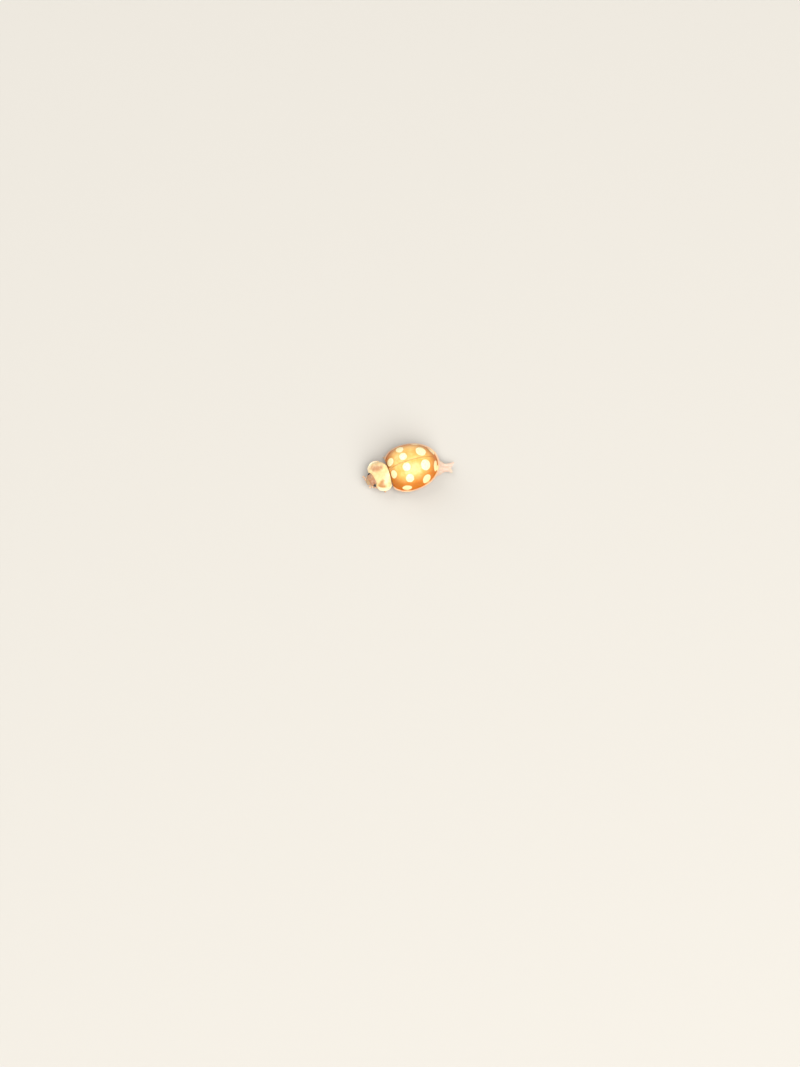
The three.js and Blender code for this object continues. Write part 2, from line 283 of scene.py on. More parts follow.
# Adds a node. Each link is another node's output, a colour as text or a plain value.
def addNode(tree, kind, settings=None, links=None):
    node = tree.nodes.new("ShaderNode" + kind)
    for key, value in (settings or {}).items():
        setattr(node, key, value)
    for socket, value in (links or {}).items():
        if isinstance(value, bpy.types.NodeSocket):
            tree.links.new(value, node.inputs[socket])
        elif isinstance(value, str):
            node.inputs[socket].default_value = toLinear(value)
        else:
            node.inputs[socket].default_value = value
    return node


soft = {"interpolation_type": "SMOOTHSTEP"}  # for a range that eases in and out


def startMaterial(name, **shader):
    material = bpy.data.materials.new(name)
    material.use_nodes = True
    tree = material.node_tree
    surface = tree.nodes["Principled BSDF"]
    for socket, value in shader.items():
        surface.inputs[socket.replace("_", " ")].default_value = value
    return material, tree, surface


# Object coordinates as millimetres from the seam's front end, or on the head before it was turned.
def bodyMillimetres(tree, turned=False):
    place = addNode(tree, "TexCoord").outputs["Object"]
    body = addNode(tree, "Mapping", links={
        "Vector": place, "Location": -seamPoint / mm, "Scale": (1 / mm, 1 / mm, 1 / mm)}).outputs["Vector"]
    if not turned:
        return body
    back = neck["pivot"] - Matrix.Rotation(-neck["turn"], 3, "Z") @ neck["pivot"]
    return addNode(tree, "Mapping", links={
        "Vector": body, "Location": back, "Rotation": (0, 0, -neck["turn"])}).outputs["Vector"]


# Soft cloudy patches of this size in mm: 0 outside them and 1 inside.
def patches(tree, place, size, low=0.35, high=0.7):
    cloud = addNode(tree, "TexNoise", links={"Vector": place, "Scale": 1 / size, "Detail": 3.0})
    return addNode(tree, "MapRange", soft, {
        "Value": cloud.outputs["Fac"], "From Min": low, "From Max": high}).outputs["Result"]


# Coats of colour, one over the other: each is how much of it shows, then its colour.
def coatsOfColour(tree, ground, coats):
    for amount, colour in coats:
        ground = addNode(tree, "Mix", {"data_type": "RGBA"}, {0: amount, 6: ground, 7: colour}).outputs[2]
    return ground


# Gives a surface its colour and the relief in its gloss. Each layer of relief is a height pattern,
# its strength and its depth in mm.
def dressSurface(tree, surface, colour, layers):
    tree.links.new(colour, surface.inputs["Base Color"])
    normal = None
    for height, strength, depth in layers:
        links = {"Height": height, "Strength": strength, "Distance": depth * mm}
        if normal:
            links["Normal"] = normal
        normal = addNode(tree, "Bump", links=links).outputs["Normal"]
    tree.links.new(normal, surface.inputs["Normal"])


# Fine pits with this spacing in mm, as a height.
def pits(tree, place, spacing):
    cells = addNode(tree, "TexVoronoi", links={"Vector": place, "Scale": 1 / spacing}).outputs["Distance"]
    return addNode(tree, "MapRange", soft, {
        "Value": cells, "From Min": 0.1, "From Max": 0.34}).outputs["Result"]


# How near a place is to the nearest of several round marks: 0 in a middle and 1 at an edge.
# Each mark is the place of its middle, then its half sizes along X, Y and Z.
def nearestMark(tree, place, marks):
    nearest = None
    for middle, halfSizes in marks:
        local = addNode(tree, "Mapping", {"vector_type": "TEXTURE"}, {
            "Vector": place, "Location": middle, "Scale": halfSizes}).outputs["Vector"]
        reach = addNode(tree, "VectorMath", {"operation": "LENGTH"}, {0: local}).outputs["Value"]
        if nearest:
            reach = addNode(tree, "Math", {"operation": "MINIMUM"}, {0: nearest, 1: reach}).outputs[0]
        nearest = reach
    return nearest


# A place shifted here and there by up to half of this many mm, so that edges of marks wander.
def wandering(tree, place, size, shift):
    cloud = addNode(tree, "TexNoise", links={"Vector": place, "Scale": 1 / size, "Detail": 2.0})
    least = addNode(tree, "VectorMath", {"operation": "SUBTRACT"}, {
        0: place, 1: (shift / 2, shift / 2, shift / 2)}).outputs[0]
    return addNode(tree, "VectorMath", {"operation": "MULTIPLY_ADD"}, {
        0: cloud.outputs["Color"], 1: (shift, shift, shift), 2: least}).outputs[0]


print("ladybird: tools ready")

wingCase = {
    "halfWidth": 1.79, "widestY": 1.44, "frontReach": 1.74, "rearReach": 2.35,
    "frontPower": 2.35, "rearPower": 2.08,  # how full the outline's corners are; 2 is an oval
    "rimZ": 0.66, "rimShare": 0.915, "rise": 1.8, "domePower": 2.15, "segments": 176, "rings": 88,
    # how far the dome's foot and the gutter inside the rim lie below the rim
    "sink": 0.05, "gutter": 0.045, "gutterRound": 0.1,
    # the edge along the seam is drawn back and bends down, but not near the rim
    "seamGap": 0.003, "seamDip": 0.012, "seamReach": 0.09, "seamFade": 3,
    # the front edge bends down, less and less towards the side
    "frontY": 0.015, "frontDrop": 0.09, "frontBend": 0.12, "frontFade": 1.4, "wall": 0.032,
    # outside this share the rolled edge closes up towards the front, to this far below the rim
    "rollFrom": 0.93, "shoulderEnd": 0.4, "shoulderPinch": 0.6, "shoulderLevel": 0.04,
    # the flat rim and the edge rolled in under it: share of the outline, and height from the rim
    "rim": [(0.94, -0.028), (0.965, -0.014), (0.985, 0.004), (0.996, 0.0), (1.0, -0.026),
            (0.994, -0.056), (0.975, -0.07), (0.93, -0.078), (0.86, -0.085), (0.78, -0.1)],
    "notch": (0.19, 0.3),  # room for the small triangle: half width and length
    "shoulder": ((1.02, 0.42, 1.9), (0, 0, 0.03), 0.4),
    # round marks, seven on the left and seven on the right: x, y, half sizes across, along and down
    "marks": [
        (0.48, 0.21, 0.29, 0.27, 0.4), (0.4, 1.21, 0.3, 0.29, 0.4), (1.17, 1.23, 0.31, 0.3, 0.4),
        (1.55, 0.91, 0.34, 0.35, 0.36), (0.58, 2.61, 0.39, 0.38, 0.5), (1.38, 2.46, 0.33, 0.35, 0.55),
        (0.6, 3.4, 0.4, 0.33, 0.5),
        (-0.47, 0.24, 0.3, 0.27, 0.6), (-0.42, 1.2, 0.29, 0.28, 0.4), (-1.11, 1.15, 0.33, 0.28, 0.6),
        (-1.55, 0.91, 0.34, 0.33, 0.34), (-0.5, 2.57, 0.39, 0.38, 0.7), (-1.38, 2.42, 0.33, 0.35, 0.55),
        (-0.6, 3.4, 0.4, 0.33, 0.5)],
}


# How far out a place lies: 0 under the crown and 1 at the edge of the rim.
def caseShare(x, y):
    w = wingCase
    run = y - w["widestY"]
    reach, power = (w["frontReach"], w["frontPower"]) if run < 0 else (w["rearReach"], w["rearPower"])
    return (abs(x / w["halfWidth"]) ** power + abs(run / reach) ** power) ** (1 / power)


def caseHeight(share):
    w = wingCase
    level = math.sqrt(max(1 - clamp(share / w["rimShare"]) ** w["domePower"], 0))
    dome = w["rimZ"] - w["sink"] + (w["rise"] + w["sink"]) * level
    return softMax(dome, w["rimZ"] - w["gutter"], w["gutterRound"])


# Where a corner of the upper half of a ball comes to lie on the dome.
def domePoint(p):
    w = wingCase
    flat = math.hypot(p.x, p.y)
    if flat < 1e-6:
        return Vector((0, w["widestY"], caseHeight(0) - w["seamDip"]))
    share = flat * w["rimShare"]
    outward = share / caseShare(p.x / flat, w["widestY"] + p.y / flat)
    x, y = p.x / flat * outward, w["widestY"] + p.y / flat * outward
    z = caseHeight(share)
    z -= w["frontDrop"] * clamp(1 - (y - w["frontY"]) / w["frontBend"]) ** 2 * clamp(w["frontFade"] - x)
    z -= w["seamDip"] * clamp(1 - x / w["seamReach"]) ** 2 * clamp(w["seamFade"] * (z - w["rimZ"]))
    return Vector((x, y, z))


def makeWingCase():
    w = wingCase
    case = addBall("wingCaseLeft", w["segments"], w["rings"])
    pick(case, lambda p: p.z < -hair or p.x < -hair)
    bpy.ops.mesh.delete(type="VERT")
    selectOnly(case)
    for vertex in case.data.vertices:
        vertex.co = domePoint(vertex.co)
    # the rim is drawn out of the foot of the dome and rolled in under it
    pick(case, lambda p: caseShare(p.x, p.y) > w["rimShare"] - hair)
    share, level = w["rimShare"], caseHeight(w["rimShare"]) - w["rimZ"]
    for nextShare, nextLevel in w["rim"]:
        grow = nextShare / share
        bpy.ops.mesh.extrude_region_move(TRANSFORM_OT_translate={"value": (0, 0, nextLevel - level)})
        bpy.ops.transform.resize(value=(grow, grow, 1), center_override=(0, w["widestY"], 0))
        share, level = nextShare, nextLevel
    selectOnly(case)
    for vertex in case.data.vertices:
        if caseShare(vertex.co.x, vertex.co.y) > w["rollFrom"]:
            pinch = w["shoulderPinch"] * ease(1 - vertex.co.y / w["shoulderEnd"])
            vertex.co.z = mix(vertex.co.z, w["rimZ"] - w["shoulderLevel"], pinch)
    # the front is cut straight, with a notch for the triangle
    halfWidth, length = w["notch"]
    pick(case)
    bpy.ops.mesh.bisect(plane_co=(0, length, 0), plane_no=(length, halfWidth, 0), clear_inner=True)
    bpy.ops.mesh.select_all(action="SELECT")
    bpy.ops.mesh.bisect(plane_co=(0, w["frontY"], 0), plane_no=(0, 1, 0), clear_inner=True)
    selectOnly(case)
    for vertex in case.data.vertices:
        vertex.co.x += w["seamGap"] * clamp(1 - vertex.co.x / w["seamReach"])
    tidyShell(case)
    pull(case, *w["shoulder"])
    modify(case, "SOLIDIFY", thickness=w["wall"], offset=-1, use_even_offset=False)
    paint(case, "share", lambda p: caseShare(p.x, p.y))
    return case


# The same piece for the animal's right side.
def mirrored(piece, name):
    twin = placedCopy(piece, name, Vector((0, 0, 0)), up, side=Vector((1, 0, 0)))
    pick(twin)
    bpy.ops.transform.resize(value=(-1, 1, 1), center_override=(0, 0, 0))
    bpy.ops.mesh.normals_make_consistent(inside=False)
    selectOnly(twin)
    return twin


# Beetle shell: thin horny chitin under a clear waxy skin. It gives a pale orange crown that is a painted
# highlight and an orange that deepens down the flank as painted shade, which also dims the cream marks
# there; fine pits under a gloss that is faint low down, and a thin, paler rim.
def makeShellMaterial():
    material, tree, surface = startMaterial(
        "orangeBeetleShell", Roughness=0.5, Specular_IOR_Level=0.1, Coat_Roughness=0.22, Coat_IOR=1.55,
        Subsurface_Weight=0.15, Subsurface_Scale=0.0002)
    body = bodyMillimetres(tree)
    split = addNode(tree, "SeparateXYZ", links={0: body})
    marks = [((x, y, caseHeight(caseShare(x, y))), halfSizes) for x, y, *halfSizes in wingCase["marks"]]
    reach = nearestMark(tree, wandering(tree, body, size=0.2, shift=0.07), marks)
    share = addNode(tree, "Attribute", {"attribute_name": "share"}).outputs["Fac"]
    fromSeam = addNode(tree, "Math", {"operation": "ABSOLUTE"}, {0: split.outputs["X"]}).outputs[0]
    # painted shade: darker from the crown down the flank, for the orange and for the cream marks
    paintedFlankShade = addNode(tree, "MapRange", soft, {
        "Value": share, "From Min": 0.53, "From Max": 0.9}).outputs["Result"]
    halo = addNode(tree, "MapRange", soft, {
        "Value": reach, "From Min": 1.6, "From Max": 1.05, "To Max": 0.22}).outputs["Result"]
    seam = addNode(tree, "MapRange", soft, {
        "Value": fromSeam, "From Min": 0.06, "From Max": 0.01, "To Max": 0.55}).outputs["Result"]
    edge = addNode(tree, "MapRange", soft, {
        "Value": share, "From Min": 0.93, "From Max": 0.96}).outputs["Result"]
    under = addNode(tree, "MapRange", soft, {
        "Value": split.outputs["Z"], "From Min": 0.63, "From Max": 0.59}).outputs["Result"]
    mark = addNode(tree, "MapRange", soft, {
        "Value": reach, "From Min": 1.07, "From Max": 0.9}).outputs["Result"]
    cream = coatsOfColour(tree, "#fff6cc", [
        (patches(tree, body, size=0.14), "#ffeaac"), (paintedFlankShade, "#f4dda4")])
    # the pale ground is a painted highlight on the crown, and the deep orange on the flank is painted shade
    colour = coatsOfColour(tree, "#fac778", [
        (patches(tree, body, size=0.35), "#f4b35a"), (paintedFlankShade, "#c06a06"), (halo, "#ce7a16"),
        (seam, "#b8742c"), (mark, cream), (edge, "#e0ba98"), (under, "#c99c76")])
    gloss = addNode(tree, "MapRange", soft, {
        "Value": share, "From Min": 0.55, "From Max": 0.88,
        "To Min": 0.9, "To Max": 0.28}).outputs["Result"]
    tree.links.new(gloss, surface.inputs["Coat Weight"])
    cloud = addNode(tree, "TexNoise", links={"Vector": body, "Scale": 2.0, "Detail": 2.0}).outputs["Fac"]
    dressSurface(tree, surface, colour, [(pits(tree, body, spacing=0.07), 0.25, 0.005), (cloud, 0.2, 0.03)])
    return material


shellMaterial = makeShellMaterial()
leftCase = makeWingCase()
finishPiece(mirrored(leftCase, "wingCaseRight"), shellMaterial, ["wing_case_right"])
finishPiece(leftCase, shellMaterial, ["wing_case_left"])
print("ladybird: wing cases done")

# the small triangle between the wing cases slopes up to its rear tip by this many degrees, and has
# the colour of the wing cases at this share
scutellum = {"radius": 0.48, "squash": (0.62, 1, 1), "depth": 0.1, "place": (0, 0.16, 1.54),
             "slope": 63, "edge": 0.02, "inset": 0.07, "dome": 0.02, "share": 0.6}


def makeScutellum():
    s = scutellum
    bpy.ops.object.select_all(action="DESELECT")
    bpy.ops.mesh.primitive_cylinder_add(vertices=3, radius=s["radius"], depth=s["depth"],
                                        end_fill_type="NGON")
    triangle = startPiece("scutellum")
    pick(triangle)
    bpy.ops.transform.resize(value=s["squash"], center_override=(0, 0, 0))
    bpy.ops.mesh.bevel(offset=s["edge"], segments=3, affect="EDGES")
    pick(triangle, lambda p: p.z > s["depth"] / 2 - hair)
    bpy.ops.mesh.inset(thickness=s["inset"])
    bpy.ops.transform.translate(value=(0, 0, s["dome"]))
    modify(triangle, "SUBSURF", levels=2, render_levels=2)
    triangle.data.transform(Matrix.Translation(s["place"])
                            @ Matrix.Rotation(math.radians(s["slope"]), 4, "X"))
    paint(triangle, "share", lambda p: s["share"])
    return triangle


finishPiece(makeScutellum(), shellMaterial, ["scutellum"])

shield = {
    "frontWidth": 0.8, "spread": 0.13, "bulge": 0.33, "bulgePower": 0.8, "frontY": -1.17, "rearY": -0.16,
    "length": 1.1, "rearBow": 0.2, "frontHigh": 1.12, "rise": 0.36, "edgeHigh": 0.74, "edgeRise": 0.08,
    # how far the front lobes stand out and the corners are drawn in, from which share of the half width
    "lobe": 0.14, "lobeFrom": 0.4, "lobeRun": 0.4, "frontCorner": 0.05, "frontCornerFrom": 0.78,
    "rearCorner": 0.03, "rearCornerFrom": 0.85,
    "domePower": 2.5, "domeRoot": 0.72, "sink": 0.04,  # the dome, which runs out below the edge
    "marginFrom": 0.93, "gutter": 0.035, "gutterRound": 0.08,  # the flat margin, with a gutter inside
    "endDrop": 0.05, "endShare": 0.06,  # the front and rear edges bend down
    "wall": 0.07, "edgeRound": 0.02, "columns": 130, "rows": 70, "lastY": -0.02, "lastRound": 0.08,
    # soft orange marks: middle, then half sizes across, along and down
    "marks": [((0.75, -0.96, 1.0), (0.27, 0.25, 0.4)), ((0.86, -0.8, 0.96), (0.18, 0.2, 0.4)),
              ((0.64, -0.84, 1.1), (0.21, 0.19, 0.4)), ((-0.4, -0.38, 1.34), (0.2, 0.17, 0.4)),
              ((-0.46, -0.64, 1.27), (0.31, 0.28, 0.4)), ((-0.58, -0.84, 1.13), (0.22, 0.22, 0.4))],
}


def shieldHalfWidth(v):
    s = shield
    return s["frontWidth"] + s["spread"] * v + s["bulge"] * math.sin(math.pi * v) ** s["bulgePower"]


# Where a corner of a flat grid, u across and v from front to rear, comes to lie on the shield.
def shieldPoint(u, v):
    s, out = shield, abs(u)
    frontCorner = s["frontCorner"] * ease((out - s["frontCornerFrom"]) / (1 - s["frontCornerFrom"]))
    rearCorner = s["rearCorner"] * ease((out - s["rearCornerFrom"]) / (1 - s["rearCornerFrom"]))
    front = s["frontY"] - s["lobe"] * ease((out - s["lobeFrom"]) / s["lobeRun"]) + frontCorner
    rear = s["rearY"] + s["rearBow"] * (1 - u ** 2) - rearCorner
    middle = s["frontHigh"] + s["rise"] * math.sin(v * math.pi / 2)
    edge = s["edgeHigh"] + s["edgeRise"] * v
    level = max(1 - clamp(out / s["marginFrom"]) ** s["domePower"], 0) ** s["domeRoot"]
    dome = edge - s["sink"] + (middle - edge + s["sink"]) * level
    margin = edge - s["gutter"] + s["gutter"] * (out - s["marginFrom"]) / (1 - s["marginFrom"])
    z = softMax(dome, margin, s["gutterRound"])
    z -= s["endDrop"] * clamp(1 - min(v, 1 - v) / s["endShare"]) ** 2
    return Vector((u * shieldHalfWidth(clamp(v)), mix(front, rear, v), z))


def makeShield():
    s = shield
    bpy.ops.object.select_all(action="DESELECT")
    bpy.ops.mesh.primitive_grid_add(x_subdivisions=s["columns"], y_subdivisions=s["rows"], size=2)
    piece = startPiece("shield")
    for vertex in piece.data.vertices:
        u, v = vertex.co.x, (vertex.co.y + 1) / 2
        vertex.co = shieldPoint(u, v)
    tidyShell(piece)
    paint(piece, "margin", lambda p: abs(p.x) / shieldHalfWidth(clamp((p.y - s["frontY"]) / s["length"])))
    modify(piece, "SOLIDIFY", thickness=s["wall"], offset=-1)
    modify(piece, "BEVEL", width=s["edgeRound"], segments=3, limit_method="ANGLE",
           angle_limit=math.radians(50))
    piece.data.transform(neckTurn)
    for vertex in piece.data.vertices:  # the turned shield stops short of the wing cases
        vertex.co.y = -softMax(-vertex.co.y, -s["lastY"], s["lastRound"])
    return piece


# The same waxy shell over the neck: cream, with soft orange marks and clear, thinner sides.
def makeShieldMaterial():
    material, tree, surface = startMaterial(
        "creamBeetleShell", Roughness=0.38, IOR=1.55, Coat_Weight=0.8, Coat_Roughness=0.32, Coat_IOR=1.55,
        Subsurface_Weight=0.2, Subsurface_Scale=0.0002)
    straight = bodyMillimetres(tree, turned=True)
    reach = nearestMark(tree, wandering(tree, straight, size=0.3, shift=0.3), shield["marks"])
    margin = addNode(tree, "Attribute", {"attribute_name": "margin"}).outputs["Fac"]
    mark = addNode(tree, "MapRange", soft, {
        "Value": reach, "From Min": 1.5, "From Max": 0.3, "To Max": 0.86}).outputs["Result"]
    thin = addNode(tree, "MapRange", soft, {
        "Value": margin, "From Min": 0.84, "From Max": 0.97}).outputs["Result"]
    colour = coatsOfColour(tree, "#eed096", [
        (patches(tree, straight, size=0.3), "#e8c284"), (mark, "#aa6608"), (thin, "#eedab6")])
    cloud = addNode(tree, "TexNoise", links={"Vector": straight, "Scale": 2.5, "Detail": 2.0}).outputs["Fac"]
    dressSurface(tree, surface, colour, [
        (pits(tree, straight, spacing=0.055), 0.25, 0.005), (cloud, 0.3, 0.04)])
    return material


finishPiece(makeShield(), makeShieldMaterial(), ["pronotum"])
print("ladybird: shield done")

head = {
    "middle": (0, -1.22, 0.8), "radii": (0.51, 0.56, 0.27), "tilt": 16,
    # ahead of snoutY it narrows towards the mouth, with a flat lower front
    "snoutY": -0.46, "snout": (0.72, 1, 0.8), "snoutMiddle": (0, -0.4, 0.02), "snoutReach": 0.3,
    # the groove between the brow and the plate over the lip
    "browY": -0.36, "browGroove": 0.05, "browSqueeze": (0.985, 1, 0.9),
    # where the skin is drawn in or out: place, move and reach
    "besideEye": ((0.3, -0.12, 0.23), (0, 0, -0.035), 0.18),
    "feelerPit": ((0.24, -0.4, 0.06), (0, 0.035, -0.005), 0.09),
    "forehead": ((0, -0.22, 0.24), (0, 0, 0.03), 0.3),
}


def makeHead():
    h = head
    face = addBall("head", segments=112, rings=72, lengthwise=True, radii=h["radii"])
    pick(face, lambda p: p.y < h["snoutY"])
    bpy.ops.transform.resize(value=h["snout"], center_override=h["snoutMiddle"], use_proportional_edit=True,
                             proportional_edit_falloff="SMOOTH", proportional_size=h["snoutReach"])
    brow = (0, h["browY"], 0)
    groove(face, brow, (0, 1, 0), h["browGroove"], h["browSqueeze"], brow)
    pullBothSides(face, *h["besideEye"])
    pullBothSides(face, *h["feelerPit"])
    pull(face, *h["forehead"])
    modify(face, "SUBSURF", levels=1, render_levels=1)
    face.data.transform(Matrix.Translation(h["middle"]) @ Matrix.Rotation(math.radians(h["tilt"]), 4, "X"))
    return face


eye = {"middle": (0.42, -1.285, 0.765), "radii": (0.14, 0.18, 0.175), "lensDepth": 0.012}


def makeEye():
    bpy.ops.object.select_all(action="DESELECT")
    bpy.ops.mesh.primitive_ico_sphere_add(subdivisions=5, radius=1)
    ball = startPiece("eyeLeft")
    pick(ball)
    bpy.ops.mesh.poke(offset=-eye["lensDepth"])  # each small face becomes a lens
    bpy.ops.mesh.select_all(action="SELECT")
    bpy.ops.transform.resize(value=eye["radii"], center_override=(0, 0, 0))
    bpy.ops.transform.translate(value=eye["middle"])
    selectOnly(ball)
    return ball


# Thin horny shell of the face: pinkish amber and satin, paler towards the lip.
def makeFaceMaterial():
    material, tree, surface = startMaterial(
        "paleFaceShell", Roughness=0.42, IOR=1.55, Coat_Weight=0.5, Coat_Roughness=0.35, Coat_IOR=1.55,
        Subsurface_Weight=0.15, Subsurface_Scale=0.0002)
    straight = bodyMillimetres(tree, turned=True)
    split = addNode(tree, "SeparateXYZ", links={0: straight})
    front = addNode(tree, "MapRange", soft, {
        "Value": split.outputs["Y"], "From Min": -1.48, "From Max": -1.66}).outputs["Result"]
    colour = coatsOfColour(tree, "#b08052", [
        (patches(tree, straight, size=0.16), "#965e36"),
        (patches(tree, straight, size=0.5, low=0.5, high=0.75), "#844c28"), (front, "#b8946a")])
    cloud = addNode(tree, "TexNoise", links={"Vector": straight, "Scale": 6.0, "Detail": 3.0}).outputs["Fac"]
    dressSurface(tree, surface, colour, [
        (pits(tree, straight, spacing=0.045), 0.3, 0.005), (cloud, 0.3, 0.015)])
    return material


# Clear lenses over dark pigment: near black with a brown cast and a wet gloss.
def makeEyeMaterial():
    material, tree, surface = startMaterial("darkEyeLenses", Roughness=0.2, IOR=1.5, Coat_Weight=0.6,
                                            Coat_Roughness=0.1)
    straight = bodyMillimetres(tree, turned=True)
    colour = coatsOfColour(tree, "#1f120c", [(patches(tree, straight, size=0.1), "#45291a")])
    grain = addNode(tree, "TexVoronoi", links={"Vector": straight, "Scale": 60.0}).outputs["Distance"]
    dressSurface(tree, surface, colour, [(grain, 0.3, 0.003)])
    return material


faceMaterial = makeFaceMaterial()
eyeMaterial = makeEyeMaterial()
finishPiece(makeHead(), faceMaterial, ["head"], turned=True)
leftEye = makeEye()
finishPiece(mirrored(leftEye, "eyeRight"), eyeMaterial, ["eye_right"], turned=True, angle=60)
finishPiece(leftEye, eyeMaterial, ["eye_left"], turned=True, angle=60)
print("ladybird: head and eyes done")

# one rounded joint, copied along every feeler and palp and at the hips
bead = limbPiece("bead", [(0, 0.55), (0.12, 0.7), (0.45, 0.92), (0.75, 1.0), (0.95, 0.8), (1.05, 0.4)],
                 sides=14)
feeler = {
    # the left one is folded back under the shield, the right one reaches out ahead
    "leftPath": [(0.34, -1.44, 0.66), (0.41, -1.54, 0.52), (0.43, -1.46, 0.35), (0.49, -1.3, 0.28),
                 (0.6, -1.13, 0.24)],
    "rightPath": [(-0.34, -1.45, 0.66), (-0.38, -1.58, 0.61), (-0.46, -1.66, 0.48), (-0.57, -1.69, 0.35),
                  (-0.69, -1.68, 0.22)],
    # length and radius of each joint, from the head out to the club
    "joints": [(0.17, 0.06), (0.08, 0.048), (0.11, 0.037), (0.07, 0.035), (0.065, 0.034), (0.06, 0.035),
               (0.06, 0.037), (0.06, 0.043), (0.085, 0.064), (0.09, 0.08), (0.115, 0.072)],
}


def makeFeeler(name, path):
    route = smoothPath([Vector(place) for place in path])
    whole = sum(length for length, radius in feeler["joints"])
    joints, at = [], 0.0
    for index, (length, radius) in enumerate(feeler["joints"]):
        start, end = pointAlong(route, at / whole), pointAlong(route, (at + length) / whole)
        joints.append(placedCopy(bead, f"joint{index}", start, end, width=radius))
        at += length
    return joinPieces(joints, name)


# two round joints and a flat hatchet with a slanting end, turned to face this way
palp = {"path": [(0.17, -1.43, 0.56), (0.24, -1.52, 0.5), (0.28, -1.59, 0.48), (0.33, -1.74, 0.47)],
        "radii": [0.045, 0.055], "hatchet": 0.12, "slant": 0.28, "facing": (1, 0.4, 0)}


def makePalp():
    points = [Vector(place) for place in palp["path"]]
    joints = [placedCopy(bead, f"palpJoint{i}", points[i], points[i + 1], width=radius)
              for i, radius in enumerate(palp["radii"])]
    hatchet = limbPiece("hatchet", [(0, 0.25), (0.15, 0.45), (0.5, 0.75), (0.85, 1.0), (1.0, 0.85)],
                        sides=14, flat=0.45)
    for vertex in hatchet.data.vertices:
        vertex.co.z += palp["slant"] * vertex.co.x * clamp(vertex.co.z)
    joints.append(placedCopy(hatchet, "palpEnd", points[2], points[3], side=Vector(palp["facing"]),
                             width=palp["hatchet"]))
    discard(hatchet)
    return joinPieces(joints, "palpLeft")


# Soft-jointed horny limb: amber chitin, thin enough to glow, duller and darker in patches.
def makeLimbMaterial(name, pale, deep, dark, turned=False):
    material, tree, surface = startMaterial(
        name, Roughness=0.42, IOR=1.55, Coat_Weight=0.3, Coat_Roughness=0.35, Coat_IOR=1.55,
        Subsurface_Weight=0.2, Subsurface_Scale=0.00015)
    body = bodyMillimetres(tree, turned)
    colour = coatsOfColour(tree, pale, [
        (patches(tree, body, size=0.12), deep), (patches(tree, body, size=0.5, low=0.5, high=0.85), dark)])
    cloud = addNode(tree, "TexNoise", links={"Vector": body, "Scale": 10.0, "Detail": 3.0}).outputs["Fac"]
    dressSurface(tree, surface, colour, [(pits(tree, body, spacing=0.03), 0.3, 0.004), (cloud, 0.3, 0.012)])
    return material


feelerMaterial = makeLimbMaterial("amberFeelerChitin", "#e8c8a2", "#d8a878", "#b8865a", turned=True)
leftPalp = makePalp()
feelersAndPalps = [
    (makeFeeler("feelerLeft", feeler["leftPath"]), "feeler", "feeler_left"),
    (makeFeeler("feelerRight", feeler["rightPath"]), "feeler", "feeler_right"),
    (mirrored(leftPalp, "palpRight"), "mouthparts", "palp_right"),
    (leftPalp, "mouthparts", "palp_left")]
for piece, slot, node in feelersAndPalps:
    finishPiece(piece, feelerMaterial, [node], turned=True)

# a lip notched in front, over two hooked jaws
mouth = {"lip": (0, -1.66, 0.62), "lipRadii": (0.19, 0.13, 0.055),
         "notch": ((0, -1.8, 0.62), (0, 0.035, 0), 0.09),
         "jawRoot": (0.15, -1.56, 0.55), "jawTip": (0.1, -1.77, 0.545), "jawWidth": 0.05, "hook": 1.4}


def makeMouth():
    lip = addBall("mouth", segments=40, rings=24, lengthwise=True, place=mouth["lip"],
                  radii=mouth["lipRadii"])
    pull(lip, *mouth["notch"])
    jaw = limbPiece("jaw", [(0, 1.0), (0.3, 0.95), (0.6, 0.7), (0.85, 0.35), (1.0, 0.12)],
                    sides=12, flat=0.6)
    for vertex in jaw.data.vertices:
        vertex.co.x -= mouth["hook"] * clamp(vertex.co.z) ** 2
    leftJaw = placedCopy(jaw, "jawLeft", Vector(mouth["jawRoot"]), Vector(mouth["jawTip"]),
                         side=Vector((1, 0, 0)), width=mouth["jawWidth"])
    rightJaw = mirrored(leftJaw, "jawRight")
    discard(jaw)
    return joinPieces([lip, leftJaw, rightJaw], "mouth")


finishPiece(makeMouth(), faceMaterial, ["mouth"], turned=True)
print("ladybird: feelers, palps and mouth done")

trunk = {
    "middle": (0, 1.44, 0.66), "halfWidth": 1.37, "frontReach": 1.5, "rearReach": 1.97, "below": 0.2,
    "above": 1.15, "frontY": 0.02, "splitY": 1.38, "gap": 0.012, "groove": 0.05,
    "bellyJoints": [1.76, 2.06, 2.36, 2.64, 2.9, 3.12], "bellySqueeze": (0.985, 1, 0.93),
    "bow": ((0, 2.5, 0.49), (0, 0.12, 0), 1.0),  # the belly's joints bow towards the tail
    "chestJointY": 0.48, "chestSqueeze": (0.99, 1, 0.93), "chestMiddleY": 0.5, "plateStart": 0.05,
    # lines between the plates under the chest: a place, the line's normal, its width and squeeze
    "plateLines": [((0, 1, 0), (1, 0, 0), 0.03, (1, 1, 0.95)),
                   ((-0.9, 0.9, 0), (1, -0.25, 0), 0.035, (1, 1, 0.93)),
                   ((0.9, 0.9, 0), (1, 0.25, 0), 0.035, (1, 1, 0.93))],
}
# the body under the shield, with a keel between the front hips and a hollow at each
breast = {"middle": (0, -0.5, 0.72), "radii": (0.86, 0.48, 0.26),
          "keel": ((0, -0.55, 0.46), (0, 0, -0.035), 0.3), "hip": ((0.32, -0.56, 0.47), (0, 0, 0.05), 0.2)}


